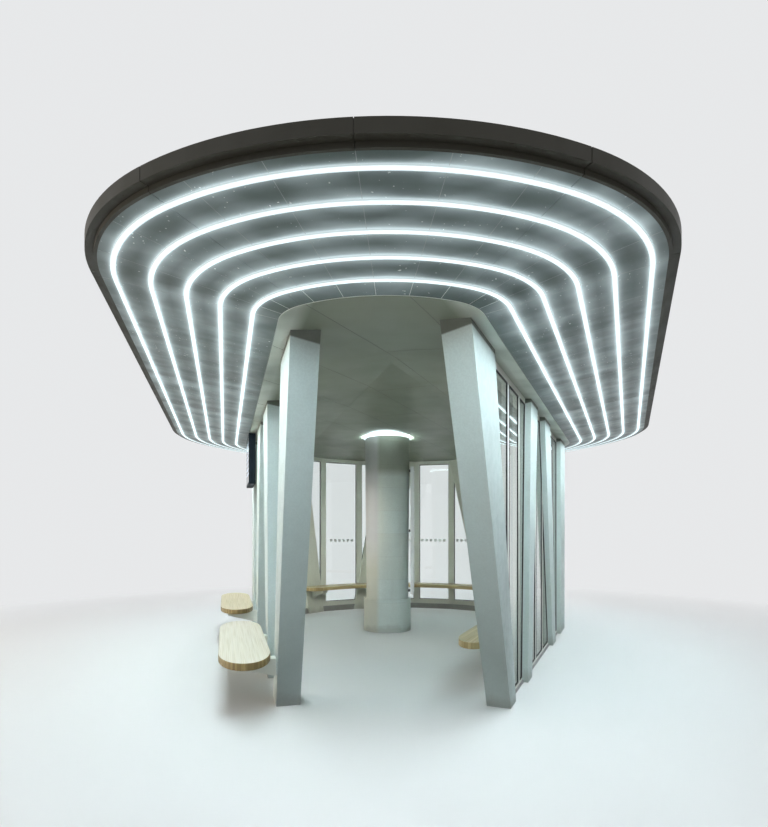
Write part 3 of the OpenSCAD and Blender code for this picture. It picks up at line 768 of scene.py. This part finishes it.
def crease_trim():
    """Thin bead where the sloped soffit meets the flat ceiling."""
    bm = bmesh.new()
    inner, outer = CREASE - 0.002, CREASE + 0.002
    bottom, top = CEILING_Z - 0.0025, CEILING_Z + 0.003
    sweep_right_half(bm, [(inner, bottom), (outer, bottom), (outer, top), (inner, top)])
    mirror_to_left(bm)
    add_piece("crease_trim", bm, crease_bead)


def ceiling_strip(bm, ceiling, start, end, width):
    """Adds a flat strip under the ceiling, bent where the ceiling folds."""
    spacing, below, reach, thickness, least_bend = 0.04, 2.0, 2.0, 0.0012, 0.00004
    count = max(2, math.ceil((end - start).length / spacing))
    points = []
    for i in range(count + 1):
        hit = ceiling.ray_cast(at_height(start.lerp(end, i / count), below), UP, reach)[0]
        if hit is not None:
            points.append(hit)
    bends = [q for p, q, r in zip(points, points[1:], points[2:]) if abs(p.z + r.z - 2 * q.z) > least_bend]
    corners = points[:1] + bends + points[-1:]
    for p, q in zip(corners, corners[1:]):
        bar(bm, p, q, width, thickness)


def ceiling_joint_strips():
    """Joints of the ceiling sheets, laid in line with the right side, with staggered cross joints."""
    bm = bmesh.new()
    ceiling = BVHTree.FromObject(nodes["inner_ceiling"], bpy.context.evaluated_depsgraph_get())
    edge = outline(CREASE - 0.006)
    sheet_width, sheet_length, strip_width, first_line, staggers = 0.608, 2.4, 0.0035, 0.922, (-0.3, 0.9)
    reach = 0.5 * sheet_width * SIDE_OUT
    for i in range(-6, 3):
        middle = at_height((first_line + i * sheet_width) * SIDE_OUT, 0)
        ends = crossings(edge, middle, SIDE_ALONG)
        if len(ends) < 2:
            continue
        ceiling_strip(bm, ceiling, ends[0], ends[1], strip_width)
        for j in range(-3, 4):
            centre = middle + reach + (j * sheet_length + staggers[i % 2]) * SIDE_ALONG
            ends = crossings(edge, centre, SIDE_OUT)
            if len(ends) < 2:
                continue
            before, after = centre - ends[0], ends[1] - centre
            if min(before.length, after.length) > reach.length and before.dot(after) > 0:
                ceiling_strip(bm, ceiling, centre - reach, centre + reach, strip_width)
    add_piece("ceiling_joint_strips", bm, ceiling_joint)


def roof_laps():
    """Welded laps of the roof sheet, along the shelter."""
    bm = bmesh.new()
    pitch, width, thickness, from_edge = 0.98, 0.05, 0.004, 0.14
    edge = outline(SOFFIT_EDGE - from_edge)
    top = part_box("roof_sheet")[1].z
    for i in range(-3, 4):
        ends = crossings(edge, Vector((i * pitch, 0, 0)), Vector((0, 1, 0)))
        if len(ends) == 2:
            bar(bm, at_height(ends[0], top), at_height(ends[1], top), width, thickness)
    add_piece("roof_laps", bm, roof_membrane)


def band_screws():
    """Small screws in the underside and the roof flange of the edge band."""
    bm = bmesh.new()
    low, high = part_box("edge_band")
    under, flange = SOFFIT_EDGE + 0.038, SOFFIT_EDGE - 0.07
    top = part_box("roof_sheet")[1].z
    head_radius, head_height = 0.0045, 0.002
    rows = ((NOSE, (6, 18)), (CORNER, (34, 50, 64)), (BACK_CORNER, (80, 92)), (BACK, range(108, 180, 11)))
    places = [lambda offset, arc=arc, b=b: on_arc(arc, b, offset) for arc, row in rows for b in row]
    places += [lambda offset, s=0.3 + 0.7 * i: on_side(s, offset) for i in range(8)]
    for place in places:
        for flip in (lambda point: point, mirrored):
            disc(bm, flip(at_height(place(under), low.z)), -UP, head_radius, head_height)
            disc(bm, flip(at_height(place(flange), top)), UP, head_radius, head_height)
    add_piece("band_screws", bm, band_metal)


def glazing_seals(name, glass_node):
    """Black rubber seals round every pane, on both faces, that pass over any side too short for them."""
    bm = bmesh.new()
    width, thickness, least_side, least_area = 0.009, 0.006, 0.008, 0.06
    bm.from_mesh(nodes[glass_node].data)
    merge_flat_faces(bm)
    rims = [face for face in bm.faces if face.calc_area() < least_area or abs(face.normal.z) > 0.1]
    bmesh.ops.delete(bm, geom=rims, context="FACES")
    for corners in [face.verts[:] for face in bm.faces]:
        bmesh.ops.remove_doubles(bm, verts=corners, dist=least_side)
    panes = bm.faces[:]
    kept = set(bmesh.ops.inset_individual(bm, faces=panes, thickness=width, use_even_offset=True)["faces"])
    bmesh.ops.delete(bm, geom=[face for face in bm.faces if face not in kept], context="FACES")
    bmesh.ops.solidify(bm, geom=bm.faces[:], thickness=-thickness)
    add_piece(name, bm, seal_rubber)


def band_joint_fillers():
    """Fillers set back in the joints of the edge band, which close them to the sky."""
    bm = bmesh.new()
    low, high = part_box("edge_band")
    inner, outer, middle = SOFFIT_EDGE, BAND_EDGE - 0.003, (low.z + high.z) / 2
    width, height = 0.0024, high.z - low.z - 0.006
    back_step = 2 * BACK_HALF_ANGLE / BACK_BANDS
    right = [lambda offset: on_arc(CORNER, CORNER[2], offset)]
    right += [lambda offset, s=s: on_side(s, offset) for s in (0, SIDE_LENGTH / 2, SIDE_LENGTH)]
    right += [lambda offset, b=b: on_arc(BACK, b, offset) for b in (BACK[2], BACK[2] + back_step)]
    joints = [lambda offset: on_arc(NOSE, 0, offset), lambda offset: on_arc(BACK, 180, offset)]
    for place in right:
        joints += [place, lambda offset, place=place: mirrored(place(offset))]
    for place in joints:
        bar(bm, at_height(place(inner), middle), at_height(place(outer), middle), width, height)
    add_piece("band_joint_fillers", bm, band_metal)


def glass_marks():
    """Rows of small etched squares across the rear panes, so that nobody walks into them."""
    bm = bmesh.new()
    pane = BVHTree.FromObject(nodes["glass_back"], bpy.context.evaluated_depsgraph_get())
    height, size, thickness, pitch, half_angle = 1.32, 0.05, 0.0006, 0.088, 84
    from_pane, reach, spots, lift = 0.2, 0.5, (-0.04, 0, 0.04), 0.0003
    radius = back_radius + GLASS_MIDDLE
    step = math.degrees(pitch / radius)
    count = int(half_angle / step)
    for i in range(-count, count + 1):
        outwards = out(180 - i * step)
        start = at_height(back_centre + (radius - from_pane) * outwards, height)
        across = outwards.cross(UP)
        hits = [pane.ray_cast(start + shift * across, outwards, reach) for shift in spots]
        if all(hit[0] is not None for hit in hits):
            spot, normal = hits[1][0], hits[1][1]
            side = normal.cross(UP)
            spot = spot + lift * normal
            bar(bm, spot - size / 2 * side, spot + size / 2 * side, size, thickness, normal)
    add_piece("glass_marks", bm, etched_mark)


def board_frame():
    """Bright metal edge round the face of the notice board, and its two locks."""
    bm = bmesh.new()
    low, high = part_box("notice_board")
    width, proud, sunk = 0.016, 0.003, 0.0002
    lock_radius, lock_height, lock_from_end = 0.006, 0.002, 0.25
    x = high.x + proud / 2 - sunk
    near_side, far_side = low.y + width / 2, high.y - width / 2
    out_x = Vector((1, 0, 0))
    for y in (near_side, far_side):
        bar(bm, Vector((x, y, low.z)), Vector((x, y, high.z)), width, proud, out_x)
    for z in (low.z + width / 2, high.z - width / 2):
        bar(bm, Vector((x, low.y + width, z)), Vector((x, high.y - width, z)), width, proud, out_x)
    for z in (low.z + lock_from_end, high.z - lock_from_end):
        disc(bm, Vector((high.x + proud, near_side, z)), out_x, lock_radius, lock_height)
    add_piece("board_frame", bm, board_edge)


def long_ended_seat(node, along, both_ends):
    """A copy of a seat with rounded edges, and with its round ends drawn out to half ellipses."""
    bm = bmesh.new()
    bm.from_mesh(nodes[node].data)
    merge_flat_faces(bm)
    first = min(vert.co.dot(along) for vert in bm.verts)
    last = max(vert.co.dot(along) for vert in bm.verts)
    stretch = SEAT_END / SEAT_CORNER - 1
    slack, edge_radius = 0.002, 0.005
    for vert in bm.verts:
        from_first, from_last = vert.co.dot(along) - first, last - vert.co.dot(along)
        if from_first < SEAT_CORNER + slack:
            vert.co += stretch * from_first * along
        elif both_ends and from_last < SEAT_CORNER + slack:
            vert.co -= stretch * from_last * along
    rims = [edge for edge in bm.edges if edge.is_manifold and edge.calc_face_angle() > 1]
    bmesh.ops.bevel(bm, geom=rims, offset=edge_radius, segments=3, affect="EDGES", profile=0.5, material=-1)
    bmesh.ops.triangulate(bm, faces=[face for face in bm.faces if len(face.verts) > 4])
    return bm


def outside_seats():
    """The two seats along the left side, their worn tops with painted light. The far one's top has painted
    shade of the canopy.
    """
    for node, wood in (("bench_left_near", lit_top_seat_wood), ("bench_left_far", shaded_top_seat_wood)):
        bm = long_ended_seat(node, mirrored(SIDE_ALONG), True)
        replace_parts(add_piece(node + "_seat", bm, wood), node)


def bearing_of(arm):
    return math.degrees(math.atan2(arm.x, -arm.y)) % 360


def wall_place(point):
    """Distance along the walls and offset from the innermost light line, on the right and at the rear."""
    flat = at_height(point, 0)
    along = (flat - side_start).dot(SIDE_ALONG)
    if along < SIDE_LENGTH:
        return along, (flat - side_start).dot(SIDE_OUT)
    arm = flat - back_corner_centre
    if bearing_of(arm) < BACK_CORNER[3] and arm.length > 0.3:
        turned = math.radians(bearing_of(arm) - BACK_CORNER[2])
        return SIDE_LENGTH + turned * BACK_CORNER_RADIUS, arm.length - BACK_CORNER_RADIUS
    arm = flat - back_centre
    corner = math.radians(BACK_CORNER[3] - BACK_CORNER[2]) * BACK_CORNER_RADIUS
    turned = math.radians(bearing_of(arm) - BACK[2])
    return SIDE_LENGTH + corner + turned * back_radius, arm.length - back_radius


def inside_bench():
    """The long inside seat, with its strips following the walls."""
    bm = long_ended_seat("bench_inside", SIDE_ALONG, False)
    layer = bm.loops.layers.uv.new("strips")
    for face in bm.faces:
        for loop in face.loops:
            loop[layer].uv = wall_place(loop.vert.co)
    piece = add_piece("bench_inside_seat", bm, curved_wood)
    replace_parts(piece, "bench_inside")


soffit_joint_strips()
crease_trim()
ceiling_joint_strips()
roof_laps()
band_screws()
band_joint_fillers()
glazing_seals("glazing_seals_right", "glass_right")
glazing_seals("glazing_seals_back", "glass_back")
glass_marks()
board_frame()
outside_seats()
inside_bench()


# Studio

def seen_or_mirrored(tree):
    """1 for camera, glossy and transmission rays, and 0 for the light that falls on things."""
    path = tree.nodes.new("ShaderNodeLightPath")
    total = path.outputs["Is Camera Ray"]
    for name in ("Is Glossy Ray", "Is Transmission Ray"):
        both = tree.nodes.new("ShaderNodeMath")
        both.operation = "MAXIMUM"
        tree.links.new(total, both.inputs[0])
        tree.links.new(path.outputs[name], both.inputs[1])
        total = both.outputs[0]
    return total


def pale_floor():
    """A wide round floor that fades into the background."""
    bm = bmesh.new()
    bmesh.ops.create_circle(bm, cap_ends=True, segments=96, radius=70)
    mesh = bpy.data.meshes.new("floor")
    bm.to_mesh(mesh)
    bm.free()
    floor = bpy.data.objects.new("floor", mesh)
    bpy.context.scene.collection.objects.link(floor)
    finish = Finish("pale_floor", FLOOR_SEEN, 0.85)
    seen = seen_or_mirrored(finish.tree)
    finish.shade(finish.mix(seen, FLOOR_SHED, FLOOR_SEEN))
    far = finish.spread(finish.vector("LENGTH", finish.place), *FLOOR_FADE)
    share = finish.math("MULTIPLY", far, seen)
    haze = finish.add("ShaderNodeEmission", None, Color=(*BACKGROUND, 1), Strength=1.0)
    mixed = finish.add("ShaderNodeMixShader", None, _0=share, _1=finish.shader.outputs[0], _2=haze.outputs[0])
    finish.link(mixed.outputs[0], finish.tree.nodes["Material Output"].inputs["Surface"])
    mesh.materials.append(finish.material)


def soft_world(strength):
    """Pale light from all round, with a plain background where it is seen or mirrored."""
    world = bpy.data.worlds.new("studio")
    bpy.context.scene.world = world
    world.use_nodes = True
    tree = world.node_tree
    light = tree.nodes["Background"]
    light.inputs["Color"].default_value = (0.93, 0.97, 1.0, 1)
    light.inputs["Strength"].default_value = strength
    seen = tree.nodes.new("ShaderNodeBackground")
    seen.inputs["Color"].default_value = (*BACKGROUND, 1)
    mixed = tree.nodes.new("ShaderNodeMixShader")
    tree.links.new(seen_or_mirrored(tree), mixed.inputs[0])
    tree.links.new(light.outputs[0], mixed.inputs[1])
    tree.links.new(seen.outputs[0], mixed.inputs[2])
    tree.links.new(mixed.outputs[0], tree.nodes["World Output"].inputs["Surface"])


def soft_lamp(name, place, target, size, power, colour=(1, 1, 1), spread=180, mirrored_too=True):
    """A round lamp turned to a target, and not seen through glass. The spread is its cone's angle."""
    lamp = bpy.data.lights.new(name, "AREA")
    lamp.shape = "DISK"
    lamp.size = size
    lamp.energy = power
    lamp.color = colour
    lamp.spread = math.radians(spread)
    holder = bpy.data.objects.new(name, lamp)
    holder.visible_transmission = False
    if not mirrored_too:
        holder.visible_glossy = False
    holder.location = place
    holder.rotation_euler = (Vector(target) - Vector(place)).to_track_quat("-Z", "Y").to_euler()
    bpy.context.scene.collection.objects.link(holder)


def photo_camera():
    """The photo's view, level and raised by a shift."""
    data = bpy.data.cameras.new("photo_camera")
    data.sensor_fit = "VERTICAL"
    data.sensor_height = 36
    data.lens = LENS
    data.shift_y = LENS_RISE
    camera = bpy.data.objects.new("photo_camera", data)
    camera.location = EYE
    camera.rotation_euler = (math.radians(90), 0, math.radians(TURN_LEFT))
    bpy.context.scene.collection.objects.link(camera)
    bpy.context.scene.camera = camera


pale_floor()
soft_world(strength=0.29)
soft_lamp("front_lamp", (-5.5, -12.5, 5.5), (0, -1, 1.5), size=5, power=45)
soft_lamp("low_lamp", (0.6, -9.5, 1.2), (-0.2, 1.4, 1.7), size=2.5, power=13)
soft_lamp("top_lamp", (0, 2, 15), (0, 0, 3), size=12, power=700)
soft_lamp("side_lamp", (-11.0, -3.5, 1.9), (0.2, 2.0, 1.4), size=4, power=450, colour=(1.0, 0.86, 0.66))
soft_lamp("room_lamp", (0.1, -1.5, 2.2), (-0.6, 2.8, 0.2), size=0.9, power=2.2, spread=90, mirrored_too=False)
soft_lamp("rear_lamp", (-0.8, -0.9, 2.1), (-1.7, 3.4, 0.9), size=0.6, power=4, colour=(1.0, 0.93, 0.78),
          spread=60, mirrored_too=False)
photo_camera()
bpy.context.scene.view_settings.view_transform = "Standard"
